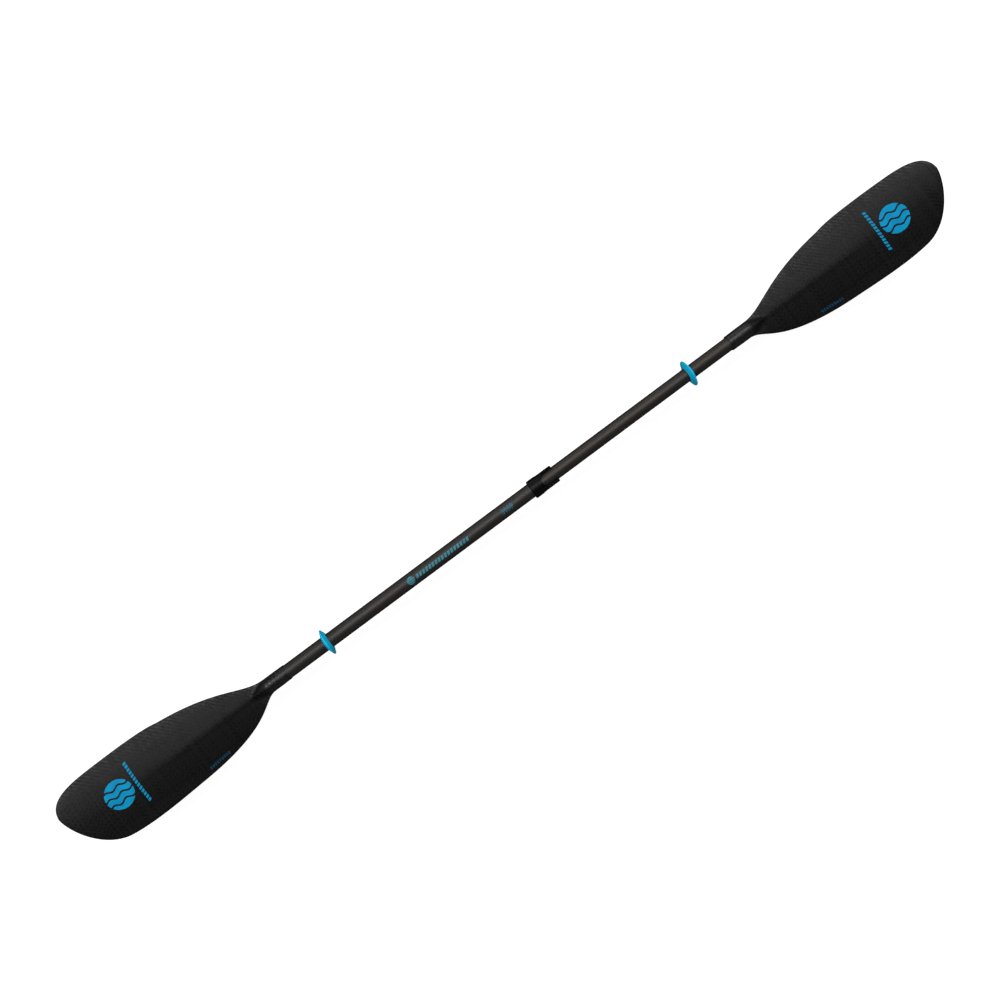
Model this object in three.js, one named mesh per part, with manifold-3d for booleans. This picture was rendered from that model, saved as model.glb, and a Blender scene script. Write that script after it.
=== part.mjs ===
// Two-piece telescopic kayak paddle with asymmetric blades and a cam-lever collar.
// Millimetres. X runs along the shaft, +Z is the side of the power faces, the origin is mid-length on
// the shaft axis. +Y is the side of the blades' longer, fuller edges.
import * as THREE from 'three';
import { mergeVertices } from 'three/addons/utils/BufferGeometryUtils.js';
import Module from 'manifold-3d';

const wasm = await Module();
wasm.setup();

// ---- driving dimensions -------------------------------------------------------------------------
const LENGTH = 2200;               // tip to tip with the shaft pushed fully in
const HALF = LENGTH / 2;
const GAP = 0.3;                   // clearance between neighbouring pieces

const OUTER_R = 15.5;              // left shaft tube
const OUTER_BORE = 14.8;
const INNER_R = OUTER_BORE - GAP;  // right shaft tube, which slides in the left one
const INNER_BORE = 13.2;
const OUTER_MOUTH_X = 74;          // end of the left tube, inside the collar
const INNER_END_X = -200;          // hidden end of the right tube
const TUBE_SIDES = 48;
const HIDDEN_SIDES = 32;           // for the pieces inside the tubes
const SMALL_SIDES = 24;            // for pins, screws and the washer

const BLADE_NECK_U = 543.5;        // blade measured from its tip: end of the moulded neck
const NECK_STRAIGHT_U = 520;       // here the neck is a plain round sleeve
const NECK_R = 16.9;
const NECK_LIP_R = 16.5;
const SOCKET_DEPTH = 40;           // how far a tube goes into its blade
const TIP_Y = 34.5;                // the tip lies off the shaft axis
const BLADE_RIBS = 30;
const RIB_CROWDING = 1.25;         // above 1, the ribs lie closer together at the tip
const RIB_POINTS = 13;             // points across one face of a rib

const COLLAR_X0 = 58.5;
const COLLAR_TAPER_X = 75;
const COLLAR_STEP_X = 84;
const COLLAR_X1 = 117.5;
const COLLAR_R = 20.2;
const COLLAR_NOSE_R = 19.2;
const COLLAR_CHAMFER = 1.4;
const COLLAR_NOSE_CHAMFER = 0.8;
const COLLAR_BORE = OUTER_R + GAP;
const COLLAR_NOSE_BORE = 16.3;
const NOTCH_HALF_WIDTH = 14.6;
const NOTCH_ROOT_X = 85;
const NOTCH_STRAIGHT_X = 95;

const PIVOT_X = 93;                // hinge pin of the cam lever, across the back of the collar
const PIVOT_Z = -23.5;
const PIN_R = 1.6;
const EAR_INNER_Y = 5.1;
const EAR_OUTER_Y = 8.6;
const EAR_R = 5;
const CAM_R = 4.4;
const CAM_OFFSET = 0.5;
const LEVER_TIP_X = 48;
const LEVER_FACE_Z = -29;          // flat outer face of the closed lever
const LEVER_HALF_WIDTH = 8;
const HUB_HALF_WIDTH = EAR_INNER_Y - 0.4;
const EAR_ROOT_Z = -14;            // the ears start inside the collar's wall
const EAR_ROOT_HALF_LENGTH = 7;

const RING_CREST_R = 29;
const RING_CREST_HALF = 1.3;       // half the ring's thickness just inside its crest
const RING_HUB_HALF = 6;
const RING_SIDES = 40;
const RING_X = 456;                // both drip rings, from the middle

// ---- materials ----------------------------------------------------------------------------------
function finish(color, roughness, metalness = 0) {
  return new THREE.MeshStandardMaterial({ color, roughness, metalness });
}
const carbonBlade = finish(0x1b1b1c, 0.5);
const carbonTube = finish(0x23221f, 0.38);
const blackNylon = finish(0x0c0c0d, 0.42);
const greyAcetal = finish(0x8d8d88, 0.5);
const cyanRubber = finish(0x21a5cf, 0.55);
const blackRubber = finish(0x111111, 0.85);
const foam = finish(0x3a3a38, 0.95);
const steel = finish(0xb9bcc0, 0.3, 1);

// ---- solids -------------------------------------------------------------------------------------
const MERGE_DISTANCE = 1e-4;
function toSolid(geometry) {
  const bare = geometry.index ? geometry.toNonIndexed() : geometry.clone();
  bare.deleteAttribute('normal');
  bare.deleteAttribute('uv');
  const merged = mergeVertices(bare, MERGE_DISTANCE);
  const vertProperties = new Float32Array(merged.attributes.position.array);
  const triVerts = new Uint32Array(merged.index.array);
  return new wasm.Manifold(new wasm.Mesh({ numProp: 3, vertProperties, triVerts }));
}

function toGeometry(solid) {
  const mesh = solid.getMesh();
  const geometry = new THREE.BufferGeometry();
  geometry.setAttribute('position', new THREE.BufferAttribute(new Float32Array(mesh.vertProperties), 3));
  geometry.setIndex(new THREE.BufferAttribute(new Uint32Array(mesh.triVerts), 1));
  return geometry;
}

// A body of revolution about the X axis. The profile is a list of [radius, x] pairs; it either starts
// and ends on the axis or is closed by its first point, and it goes from low x to high x on the outside.
function turned(profile, sides = TUBE_SIDES) {
  const points = profile.map(([radius, x]) => new THREE.Vector2(radius, x));
  const onAxis = profile[0][0] === 0;
  if (!onAxis) points.push(points[0].clone());
  return new THREE.LatheGeometry(points, sides).rotateZ(-Math.PI / 2);
}

function tube(outer, bore, x0, x1, sides = TUBE_SIDES) {
  return turned([[bore, x0], [outer, x0], [outer, x1], [bore, x1]], sides);
}

function rod(radius, x0, x1, chamfer = 0, sides = TUBE_SIDES) {
  if (chamfer === 0) return turned([[0, x0], [radius, x0], [radius, x1], [0, x1]], sides);
  return turned([
    [0, x0], [radius - chamfer, x0], [radius, x0 + chamfer],
    [radius, x1 - chamfer], [radius - chamfer, x1], [0, x1],
  ], sides);
}

// A rod across the paddle, along Y through (x, z).
function crossRod(radius, halfLength, x, z, chamfer = 0) {
  const alongX = rod(radius, -halfLength, halfLength, chamfer, SMALL_SIDES);
  return alongX.rotateZ(Math.PI / 2).translate(x, 0, z);
}

// A rod along Z through (x, 0).
function uprightRod(radius, z0, z1, x) {
  return rod(radius, z0, z1, 0, SMALL_SIDES).rotateY(-Math.PI / 2).translate(x, 0, 0);
}

function box(x0, x1, halfWidth, z0, z1) {
  const geometry = new THREE.BoxGeometry(x1 - x0, 2 * halfWidth, z1 - z0);
  return geometry.translate((x0 + x1) / 2, 0, (z0 + z1) / 2);
}

// An outline drawn in X and Z, given thickness along Y.
function sidePlate(shape, y0, y1) {
  const depth = y1 - y0;
  const geometry = new THREE.ExtrudeGeometry(shape, { depth, bevelEnabled: false, curveSegments: 10 });
  return geometry.rotateX(Math.PI / 2).translate(0, y1, 0);
}

function join(first, ...others) {
  return others.reduce((solid, geometry) => solid.add(toSolid(geometry)), toSolid(first));
}

function cut(solid, ...tools) {
  return tools.reduce((left, geometry) => left.subtract(toSolid(geometry)), solid);
}

// ---- blade --------------------------------------------------------------------------------------
// u is the distance from the tip along the shaft axis, y is across the blade.
function edgeCurve(nodes) {
  const path = new THREE.CurvePath();
  for (let i = 0; i + 3 < nodes.length; i += 3) {
    const [a, b, c, d] = nodes.slice(i, i + 4).map(([u, y]) => new THREE.Vector2(u, y));
    path.add(new THREE.CubicBezierCurve(a, b, c, d));
  }
  return path;
}

const upperEdge = edgeCurve([
  [0, TIP_Y], [0, 77.5], [55, 81], [99, 82],
  [237, 85.5], [250, 77.5], [263, 76],
  [409, 59.5], [442, NECK_R], [493, NECK_R],
]);
const lowerEdge = edgeCurve([
  [0, TIP_Y], [0, 17], [32, -68.5], [98, -78.5],
  [154, -86.5], [222, -81], [273, -78.5],
  [460, -69], [467, -NECK_R], [501, -NECK_R],
]);

const smooth = THREE.MathUtils.smoothstep;

// Mid surface: a spoon shape along the blade, with a ridge down its middle that grows rounder and
// softer towards the tip.
const SPOON_LENGTH = 500;
const SPOON_BELLY = 9;
const SPOON_TIP = 13;
const RIDGE_SLOPE = 0.075;
const RIDGE_ROUNDING = 4;
const TIP_ROUNDING = 30;
const ROUND_RIDGE_U = 60;          // the ridge is at its roundest from here to the tip
const CRISP_RIDGE_U = 280;         // and at its crispest from here to the neck
const RIDGE_FADE_U = 430;          // the ridge sinks into the neck from here to the spoon's end
function midSurface(u, y) {
  const along = Math.max(0, 1 - u / SPOON_LENGTH);
  const spoon = SPOON_TIP * along ** 3 - SPOON_BELLY * Math.sin(Math.PI * along) ** 2;
  const crispness = smooth(u, ROUND_RIDGE_U, CRISP_RIDGE_U);
  const rounding = THREE.MathUtils.lerp(TIP_ROUNDING, RIDGE_ROUNDING, crispness);
  const fall = RIDGE_SLOPE * (Math.hypot(y, rounding) - rounding);
  return spoon - fall * (1 - smooth(u, RIDGE_FADE_U, SPOON_LENGTH));
}

// The plate is thicker at the back, over the core that runs on from the shaft.
const HALF_THICKNESS = 1.5;
const EDGE_FULLNESS = 0.4;         // 1 would taper the plate to its edge like a lens, 0 leaves it square
const CORE_HEIGHT = 6;
const CORE_HALF_WIDTH = 26;
const CORE_START_U = 220;
const CORE_FULL_U = 470;
function core(u, y) {
  const height = CORE_HEIGHT * smooth(u, CORE_START_U, CORE_FULL_U);
  return height * Math.max(0, 1 - Math.abs(y) / CORE_HALF_WIDTH);
}

// The round end of the shaft sleeve runs out into the blade as a pointed nose. Beyond the nose the
// height goes on falling, below zero, so that a fillet can join it to the plate.
const NOSE_FULL_U = 495;
function noseHeight(u, y, tipU, power) {
  const run = THREE.MathUtils.clamp((NOSE_FULL_U - u) / (NOSE_FULL_U - tipU), 0, 1);
  const radius = NECK_R * (1 - run ** power);
  const beside = Math.hypot(Math.max(0, Math.abs(y) - radius), Math.max(0, tipU - u));
  return beside > 0 ? -beside : Math.sqrt(radius * radius - y * y);
}
const FRONT_NOSE_U = 459;
const FRONT_NOSE_POWER = 1.1;
const BACK_SPINE_U = 250;
const BACK_SPINE_POWER = 0.8;

// The larger of two heights, with a fillet where they meet.
function fillet(a, b, width) {
  const share = Math.max(0, width - Math.abs(a - b)) / width;
  return Math.max(a, b) + share * share * width / 4;
}
const FILLET = 12;
const FILLET_FADE_U = 480;
const FILLET_END_U = 498;
const NO_FILLET = 0.01;

function bladeOuter() {
  const positions = [];
  const around = 2 * RIB_POINTS;
  positions.push(0, TIP_Y, midSurface(0, TIP_Y));
  for (let rib = 1; rib <= BLADE_RIBS; rib += 1) {
    const share = (rib / BLADE_RIBS) ** RIB_CROWDING;
    const top = upperEdge.getPoint(share);
    const bottom = lowerEdge.getPoint(share);
    for (let k = 0; k < around; k += 1) {
      const angle = (2 * Math.PI * k) / around;
      const across = (1 + Math.cos(angle)) / 2;
      const u = THREE.MathUtils.lerp(bottom.x, top.x, across);
      const y = THREE.MathUtils.lerp(bottom.y, top.y, across);
      const rounded = Math.abs(Math.sin(angle)) ** EDGE_FULLNESS;
      const plate = rounded * HALF_THICKNESS;
      const width = NO_FILLET + FILLET * rounded * (1 - smooth(u, FILLET_FADE_U, FILLET_END_U));
      const front = fillet(plate, noseHeight(u, y, FRONT_NOSE_U, FRONT_NOSE_POWER), width);
      const spine = noseHeight(u, y, BACK_SPINE_U, BACK_SPINE_POWER);
      const back = Math.max(plate + rounded * core(u, y), spine);
      const rise = Math.sin(angle) >= 0 ? front : -back;
      const onEdge = k === 0 || k === RIB_POINTS;
      positions.push(u, y, midSurface(u, y) + (onEdge ? 0 : rise));
    }
  }
  for (const [u, radius] of [[NECK_STRAIGHT_U, NECK_R], [BLADE_NECK_U, NECK_LIP_R]]) {
    for (let k = 0; k < around; k += 1) {
      const angle = (2 * Math.PI * k) / around;
      positions.push(u, radius * Math.cos(angle), radius * Math.sin(angle));
    }
  }
  positions.push(BLADE_NECK_U, 0, 0);

  const rings = BLADE_RIBS + 2;
  const last = 1 + rings * around;
  const index = [];
  for (let k = 0; k < around; k += 1) {
    const next = (k + 1) % around;
    index.push(0, 1 + next, 1 + k);
    for (let ring = 0; ring + 1 < rings; ring += 1) {
      const a = 1 + ring * around + k;
      const b = 1 + ring * around + next;
      index.push(a, b + around, a + around);
      index.push(a, b, b + around);
    }
    const lip = 1 + (rings - 1) * around;
    index.push(lip + k, lip + next, last);
  }
  const geometry = new THREE.BufferGeometry();
  geometry.setAttribute('position', new THREE.Float32BufferAttribute(positions, 3));
  geometry.setIndex(index);
  return geometry;
}

// The left blade's tip is at -X. The right blade is its mirror image across the middle of the shaft.
function blade(side, tubeRadius) {
  const outer = toSolid(bladeOuter()).translate([-HALF, 0, 0]);
  const mouthX = BLADE_NECK_U - HALF;
  const socket = rod(tubeRadius + GAP, mouthX - SOCKET_DEPTH - 1, mouthX + 1);
  const left = cut(outer, socket);
  return toGeometry(side < 0 ? left : left.mirror([1, 0, 0]));
}

// ---- collar, lever and clamp --------------------------------------------------------------------
function notch(halfWidth, rootX) {
  const beyond = COLLAR_X1 + 2;
  const floorZ = 2;
  const shape = new THREE.Shape();
  shape.moveTo(beyond, -halfWidth);
  shape.lineTo(beyond, halfWidth);
  shape.lineTo(NOTCH_STRAIGHT_X, halfWidth);
  shape.bezierCurveTo(rootX + 3, halfWidth - 1, rootX, halfWidth / 2, rootX, 0);
  shape.bezierCurveTo(rootX, -halfWidth / 2, rootX + 3, 1 - halfWidth, NOTCH_STRAIGHT_X, -halfWidth);
  const depth = COLLAR_R + 2;
  const geometry = new THREE.ExtrudeGeometry(shape, { depth, bevelEnabled: false, curveSegments: 8 });
  return geometry.translate(0, 0, floorZ);
}

const SHOE_HALF_LENGTH = 6;
const SHOE_HALF_WIDTH = 4.5;
const INSIDE_TUBE_Z = -10;         // nearer the axis than the back of the inner tube
const shoeWindow = box(
  PIVOT_X - SHOE_HALF_LENGTH - GAP, PIVOT_X + SHOE_HALF_LENGTH + GAP,
  SHOE_HALF_WIDTH + GAP, PIVOT_Z, INSIDE_TUBE_Z,
);

const SCREW_X = 66;
const SCREW_R = 1.9;
function clampCollar() {
  const sleeve = turned([
    [COLLAR_BORE, COLLAR_X0], [COLLAR_R - COLLAR_CHAMFER, COLLAR_X0],
    [COLLAR_R, COLLAR_X0 + COLLAR_CHAMFER], [COLLAR_R, COLLAR_TAPER_X], [COLLAR_NOSE_R, COLLAR_STEP_X],
    [COLLAR_NOSE_R, COLLAR_X1 - COLLAR_NOSE_CHAMFER], [COLLAR_NOSE_R - COLLAR_NOSE_CHAMFER, COLLAR_X1],
    [COLLAR_NOSE_BORE, COLLAR_X1],
    [COLLAR_NOSE_BORE, OUTER_MOUTH_X + GAP], [COLLAR_BORE, OUTER_MOUTH_X + GAP],
  ]);
  const ear = new THREE.Shape();
  ear.moveTo(PIVOT_X - EAR_ROOT_HALF_LENGTH, EAR_ROOT_Z);
  ear.lineTo(PIVOT_X + EAR_ROOT_HALF_LENGTH, EAR_ROOT_Z);
  ear.lineTo(PIVOT_X + EAR_R, PIVOT_Z);
  ear.absarc(PIVOT_X, PIVOT_Z, EAR_R, 0, -Math.PI, true);
  const ears = [sidePlate(ear, EAR_INNER_Y, EAR_OUTER_Y), sidePlate(ear, -EAR_OUTER_Y, -EAR_INNER_Y)];
  const solid = join(sleeve, ...ears);
  return toGeometry(cut(
    solid,
    rod(COLLAR_NOSE_BORE, PIVOT_X - EAR_ROOT_HALF_LENGTH - 1, PIVOT_X + EAR_ROOT_HALF_LENGTH + 1),
    shoeWindow,
    notch(NOTCH_HALF_WIDTH, NOTCH_ROOT_X),
    crossRod(PIN_R + GAP, EAR_OUTER_Y + 1, PIVOT_X, PIVOT_Z),
    uprightRod(SCREW_R + GAP, -COLLAR_R - 1, -COLLAR_BORE + 1, SCREW_X),
  ));
}

const SEAL_X0 = OUTER_MOUTH_X + 0.7;
const SEAL_LENGTH = 2.4;

// The bush lines the collar's nose behind the notch, and the shoe reaches the tube through its window.
function mouthBush() {
  const x0 = SEAL_X0 + SEAL_LENGTH + 0.5;
  const x1 = COLLAR_X1 - COLLAR_NOSE_CHAMFER;
  const solid = toSolid(tube(COLLAR_NOSE_BORE - GAP, INNER_R + GAP, x0, x1));
  return toGeometry(cut(solid, notch(COLLAR_NOSE_BORE + 1, NOTCH_ROOT_X - 1), shoeWindow));
}

function wiperSeal() {
  return tube(COLLAR_NOSE_BORE - GAP, INNER_R + GAP, SEAL_X0, SEAL_X0 + SEAL_LENGTH);
}

function camLever() {
  const cam = crossRod(CAM_R, HUB_HALF_WIDTH, PIVOT_X, PIVOT_Z + CAM_OFFSET);
  const handleTopZ = PIVOT_Z + 1.5;
  const handle = new THREE.Shape();
  handle.moveTo(PIVOT_X - 9, handleTopZ);
  handle.lineTo(LEVER_TIP_X + 10, handleTopZ);
  handle.quadraticCurveTo(LEVER_TIP_X + 3, handleTopZ, LEVER_TIP_X, handleTopZ - 3);
  handle.quadraticCurveTo(LEVER_TIP_X + 1, LEVER_FACE_Z, LEVER_TIP_X + 6, LEVER_FACE_Z);
  handle.lineTo(PIVOT_X - 11, LEVER_FACE_Z);
  handle.quadraticCurveTo(PIVOT_X - 9, LEVER_FACE_Z, PIVOT_X - 9, LEVER_FACE_Z + 2);
  const arm = new THREE.Shape();
  arm.moveTo(PIVOT_X, PIVOT_Z + 2);
  arm.lineTo(PIVOT_X - 12, handleTopZ - 0.5);
  arm.lineTo(PIVOT_X - 12, LEVER_FACE_Z + 0.5);
  arm.lineTo(PIVOT_X, PIVOT_Z - CAM_R + CAM_OFFSET);
  const solid = join(
    cam,
    sidePlate(handle, -LEVER_HALF_WIDTH, LEVER_HALF_WIDTH),
    sidePlate(arm, -HUB_HALF_WIDTH, HUB_HALF_WIDTH),
  );
  return toGeometry(cut(solid, crossRod(PIN_R + GAP, EAR_OUTER_Y, PIVOT_X, PIVOT_Z)));
}

const SHOE_OUTER_Z = PIVOT_Z + CAM_R + CAM_OFFSET + GAP;
const PAD_BACK_R = 16;
function pressureShoe() {
  const x0 = PIVOT_X - SHOE_HALF_LENGTH;
  const x1 = PIVOT_X + SHOE_HALF_LENGTH;
  const block = toSolid(box(x0, x1, SHOE_HALF_WIDTH, SHOE_OUTER_Z, INSIDE_TUBE_Z));
  return toGeometry(cut(block, rod(PAD_BACK_R + GAP, x0 - 1, x1 + 1)));
}

function shoePad() {
  const x0 = PIVOT_X - SHOE_HALF_LENGTH;
  const x1 = PIVOT_X + SHOE_HALF_LENGTH;
  const block = toSolid(box(x0, x1, SHOE_HALF_WIDTH, SHOE_OUTER_Z, INSIDE_TUBE_Z));
  const arc = toSolid(tube(PAD_BACK_R, INNER_R + GAP, x0 - 1, x1 + 1));
  return toGeometry(block.intersect(arc));
}

// ---- hidden end of the sliding tube -------------------------------------------------------------
const PLUG_FLANGE_X = INNER_END_X - GAP;
const STEM_FACE_X = PLUG_FLANGE_X - 3;
const BUSH_LENGTH = 20;
const STEM_END_X = STEM_FACE_X - BUSH_LENGTH - 2 * GAP;
const STEM_R = 8;
const BUSH_CHAMFER = 0.8;
const THREAD_R = 2.2;
const THREAD_DEPTH = 17;
const PLUG_DEPTH = 24;             // how far the plug goes into the inner tube
const PLUG_TAPER = 2;
const WASHER_R = 11;
const WASHER_THICKNESS = 1.5;
const HEAD_R = 4.6;
const HEAD_THICKNESS = 3;
const HEAD_SOCKET_R = 1.6;
const HEAD_SOCKET_DEPTH = 1.4;
const STOP_LENGTH = 14;
const STOP_CHAMFER = 1;

function innerEndPlug() {
  return turned([
    [0, STEM_END_X + THREAD_DEPTH], [THREAD_R + GAP, STEM_END_X + THREAD_DEPTH],
    [THREAD_R + GAP, STEM_END_X], [STEM_R, STEM_END_X], [STEM_R, STEM_FACE_X],
    [INNER_R, STEM_FACE_X], [INNER_R, PLUG_FLANGE_X],
    [INNER_BORE - GAP, PLUG_FLANGE_X], [INNER_BORE - GAP, INNER_END_X + PLUG_DEPTH - PLUG_TAPER],
    [INNER_BORE - PLUG_TAPER, INNER_END_X + PLUG_DEPTH], [0, INNER_END_X + PLUG_DEPTH],
  ], HIDDEN_SIDES);
}

function guideBush() {
  const x1 = STEM_FACE_X - GAP;
  const x0 = x1 - BUSH_LENGTH;
  return turned([
    [STEM_R + GAP, x0], [INNER_R - BUSH_CHAMFER, x0], [INNER_R, x0 + BUSH_CHAMFER],
    [INNER_R, x1 - BUSH_CHAMFER], [INNER_R - BUSH_CHAMFER, x1], [STEM_R + GAP, x1],
  ], HIDDEN_SIDES);
}

function bushWasher() {
  const x1 = STEM_END_X - GAP;
  return tube(WASHER_R, THREAD_R + GAP, x1 - WASHER_THICKNESS, x1, SMALL_SIDES);
}

function bushScrew() {
  const headX = STEM_END_X - WASHER_THICKNESS - 2 * GAP;
  const x0 = headX - HEAD_THICKNESS;
  const endX = STEM_END_X + THREAD_DEPTH - 1;
  return turned([
    [0, x0 + HEAD_SOCKET_DEPTH], [HEAD_SOCKET_R, x0 + HEAD_SOCKET_DEPTH], [HEAD_SOCKET_R, x0],
    [HEAD_R - 1, x0], [HEAD_R, x0 + 1], [HEAD_R, headX],
    [THREAD_R, headX], [THREAD_R, endX - 1], [0, endX],
  ], SMALL_SIDES);
}

function insertionStop() {
  const x1 = STEM_END_X - WASHER_THICKNESS - HEAD_THICKNESS - 2 * GAP - 1;
  return rod(OUTER_BORE - GAP, x1 - STOP_LENGTH, x1, STOP_CHAMFER, HIDDEN_SIDES);
}

// ---- drip rings ---------------------------------------------------------------------------------
function dripRing(x, tubeRadius) {
  const bore = tubeRadius + GAP;
  const half = [
    [bore, RING_HUB_HALF], [bore + 1.2, RING_HUB_HALF - 0.2], [RING_CREST_R - 0.9, RING_CREST_HALF],
  ];
  const inboard = half.map(([radius, offset]) => [radius, x - offset]);
  const outboard = half.map(([radius, offset]) => [radius, x + offset]).reverse();
  return turned([...inboard, [RING_CREST_R, x], ...outboard], RING_SIDES);
}

// ---- assembly -----------------------------------------------------------------------------------
function piece(name, geometry, material) {
  const mesh = new THREE.Mesh(geometry, material);
  mesh.name = name;
  return mesh;
}

const tubeEndX = HALF - BLADE_NECK_U + SOCKET_DEPTH;
const plugInX = tubeEndX - 1;
const plugLength = 25;

const leftHalf = new THREE.Group();
leftHalf.add(
  piece('left_blade', blade(-1, OUTER_R), carbonBlade),
  piece('outer_shaft_tube', tube(OUTER_R, OUTER_BORE, -tubeEndX, OUTER_MOUTH_X), carbonTube),
  piece('left_end_plug', rod(OUTER_BORE - GAP, -plugInX, plugLength - plugInX, 1, HIDDEN_SIDES), foam),
  piece('insertion_stop', insertionStop(), foam),
  piece('clamp_collar', clampCollar(), blackNylon),
  piece('collar_screw', uprightRod(SCREW_R, -COLLAR_R + 0.2, -COLLAR_BORE, SCREW_X), steel),
  piece('wiper_seal', wiperSeal(), blackRubber),
  piece('mouth_bush', mouthBush(), greyAcetal),
  piece('lever_pin', crossRod(PIN_R, EAR_OUTER_Y + 0.2, PIVOT_X, PIVOT_Z, 0.3), steel),
  piece('cam_lever', camLever(), blackNylon),
  piece('pressure_shoe', pressureShoe(), greyAcetal),
  piece('shoe_pad', shoePad(), blackRubber),
  piece('left_drip_ring', dripRing(-RING_X, OUTER_R), cyanRubber),
);

const rightHalf = new THREE.Group();
rightHalf.add(
  piece('right_blade', blade(1, INNER_R), carbonBlade),
  piece('inner_shaft_tube', tube(INNER_R, INNER_BORE, INNER_END_X, tubeEndX), carbonTube),
  piece('right_end_plug', rod(INNER_BORE - GAP, plugInX - plugLength, plugInX, 1, HIDDEN_SIDES), foam),
  piece('inner_end_plug', innerEndPlug(), blackNylon),
  piece('guide_bush', guideBush(), greyAcetal),
  piece('bush_washer', bushWasher(), steel),
  piece('bush_screw', bushScrew(), steel),
  piece('right_drip_ring', dripRing(RING_X, INNER_R), cyanRubber),
);

const paddle = new THREE.Group();
paddle.add(leftHalf, rightHalf);

export default paddle;
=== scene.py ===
"""Looks of the kayak paddle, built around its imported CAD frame.

Metres where nothing else is said. X runs along the shaft, +Z is the side of the power faces.
"""
import math

import bmesh
import bpy
import numpy as np
from mathutils import Matrix, Vector
from mathutils.bvhtree import BVHTree


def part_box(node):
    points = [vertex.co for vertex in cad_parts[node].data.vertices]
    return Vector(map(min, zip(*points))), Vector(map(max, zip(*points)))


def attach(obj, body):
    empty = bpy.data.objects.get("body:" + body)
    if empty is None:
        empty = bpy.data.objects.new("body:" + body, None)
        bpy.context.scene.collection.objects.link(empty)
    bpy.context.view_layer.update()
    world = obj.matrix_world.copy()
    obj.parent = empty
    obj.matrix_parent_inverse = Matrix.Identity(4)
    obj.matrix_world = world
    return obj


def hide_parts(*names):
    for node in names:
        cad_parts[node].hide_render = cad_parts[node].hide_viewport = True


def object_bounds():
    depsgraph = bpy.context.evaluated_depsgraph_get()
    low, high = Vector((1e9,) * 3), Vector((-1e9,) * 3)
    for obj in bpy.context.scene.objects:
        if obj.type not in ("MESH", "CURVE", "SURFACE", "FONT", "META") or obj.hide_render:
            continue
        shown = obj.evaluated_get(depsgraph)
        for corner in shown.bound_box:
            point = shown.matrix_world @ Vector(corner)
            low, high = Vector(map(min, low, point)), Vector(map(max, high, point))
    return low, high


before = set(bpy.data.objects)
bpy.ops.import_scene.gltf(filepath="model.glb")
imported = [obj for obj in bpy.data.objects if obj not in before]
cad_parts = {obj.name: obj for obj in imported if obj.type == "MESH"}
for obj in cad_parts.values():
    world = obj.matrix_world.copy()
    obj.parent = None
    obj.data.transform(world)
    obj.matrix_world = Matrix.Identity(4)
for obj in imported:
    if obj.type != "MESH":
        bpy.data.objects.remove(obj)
cad_box = [list(corner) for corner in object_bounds()]

MM = 0.001
low, high = (Vector(corner) for corner in cad_box)
HALF_MM = high.x / MM       # half the paddle's length, in mm

# ---- camera, light and stage --------------------------------------------------------------------
CAMERA_PLACE = (-0.0039, 0.0223, 1.75)      # it looks straight down at the power faces
CAMERA_ROLL = math.radians(-36.63)
CAMERA_LENS = 31.1                          # mm
CAMERA_SENSOR = 36                          # mm

# each light's name, place, the point it shines at, its two sides and its power in watts
LIGHTS = [
    ("key_strip", (0, 0.72, 2.2), (0, 0, 0), (6.0, 0.45), 125),
    ("side_strip", (0.8, 3.0, 0.75), (0.8, 0, 0), (4.0, 0.9), 32),
    ("low_fill", (0, -3.2, 0.5), (0, 0, 0), (5.0, 1.2), 9),
]
WORLD_STRENGTH = 0.07

FLOOR_Z = low.z - 0.075     # clear of the right blade when it is feathered and of the open lever
FLOOR_SIDE = 40
FLOOR_BASE = 0.2
BACKDROP_RADIUS = 19
STAGE_GLOW = 0.96


def make_camera():
    camera = bpy.data.objects.new("camera", bpy.data.cameras.new("camera"))
    camera.data.lens = CAMERA_LENS
    camera.data.sensor_width = CAMERA_SENSOR
    camera.location = CAMERA_PLACE
    camera.rotation_euler = (0, 0, CAMERA_ROLL)
    bpy.context.scene.collection.objects.link(camera)
    bpy.context.scene.camera = camera


def area_light(name, place, target, sides, power):
    data = bpy.data.lights.new(name, "AREA")
    data.shape = "RECTANGLE"
    data.size, data.size_y = sides
    data.energy = power
    light = bpy.data.objects.new(name, data)
    light.location = place
    aim = Vector(target) - Vector(place)
    light.rotation_euler = aim.to_track_quat("-Z", "Y").to_euler()
    bpy.context.scene.collection.objects.link(light)


def make_lights():
    for light in LIGHTS:
        area_light(*light)
    world = bpy.data.worlds.new("studio")
    world.use_nodes = True
    background = world.node_tree.nodes["Background"]
    background.inputs["Color"].default_value = (1, 1, 1, 1)
    background.inputs["Strength"].default_value = WORLD_STRENGTH
    bpy.context.scene.world = world
    bpy.context.scene.view_settings.view_transform = "Standard"


def stage_piece(name, base):
    """Gives the piece just made a pale glowing material and keeps its light off the paddle."""
    piece = bpy.context.object
    piece.name = name
    material = bpy.data.materials.new(f"pale_{name}")
    material.use_nodes = True
    shader = material.node_tree.nodes["Principled BSDF"]
    shader.inputs["Base Color"].default_value = (base, base, base, 1)
    shader.inputs["Roughness"].default_value = 0.9
    shader.inputs["Specular IOR Level"].default_value = 0
    shader.inputs["Emission Color"].default_value = (1, 1, 1, 1)
    shader.inputs["Emission Strength"].default_value = STAGE_GLOW
    piece.data.materials.append(material)
    piece.visible_glossy = False
    piece.visible_diffuse = False
    return piece


def make_stage():
    middle = (0, 0, FLOOR_Z)
    bpy.ops.mesh.primitive_plane_add(size=FLOOR_SIDE, location=middle)
    stage_piece("floor", FLOOR_BASE)
    bpy.ops.mesh.primitive_uv_sphere_add(
        segments=64, ring_count=32, radius=BACKDROP_RADIUS, location=middle)
    stage_piece("backdrop", 0.0).visible_shadow = False


make_camera()
make_lights()
make_stage()


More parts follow.
